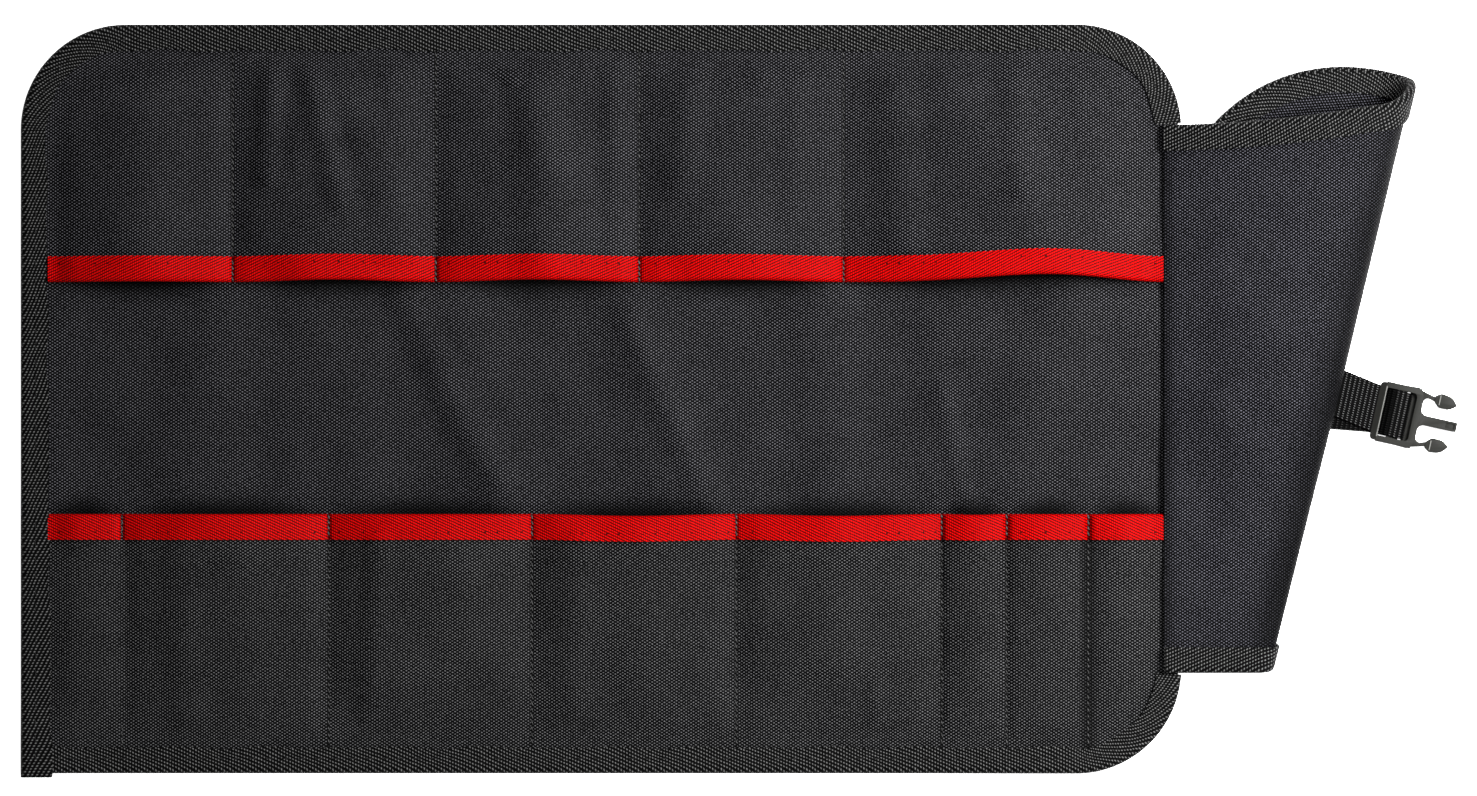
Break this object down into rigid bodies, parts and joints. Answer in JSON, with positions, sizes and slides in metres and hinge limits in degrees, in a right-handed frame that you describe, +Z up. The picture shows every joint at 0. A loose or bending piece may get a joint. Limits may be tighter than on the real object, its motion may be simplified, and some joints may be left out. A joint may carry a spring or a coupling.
{
  "type": "tool roll",
  "caption": "Fabric tool roll laid open: a black bound panel with two rows of red-taped pockets, a folded end flap, and a strap with a side-release buckle.",
  "frame": {"origin": "middle of the panel's underside, on the surface it lies on", "axes": "+Z up, +X along the panel towards its flap, +Y towards the row of wide pockets"},
  "size_m": [0.6142, 0.3217, 0.0302],
  "materials": {
    "black_cloth": "coated woven polyester",
    "black_tape": "twill binding tape",
    "red_tape": "ribbed binding tape",
    "black_webbing": "woven webbing",
    "black_plastic": "satin moulded plastic"
  },
  "bodies": {
    "root": {"back_panel": "black_cloth", "upper_pockets": "black_cloth", "lower_pockets": "black_cloth", "upper_mouth_tape": "red_tape", "lower_mouth_tape": "red_tape", "long_binding": "black_tape", "bottom_binding": "black_tape", "flap": "black_cloth", "flap_binding": "black_tape", "strap": "black_webbing", "buckle_plug": "black_plastic", "socket_strap": "black_webbing", "buckle_socket": "black_plastic"}
  },
  "joints": []
}
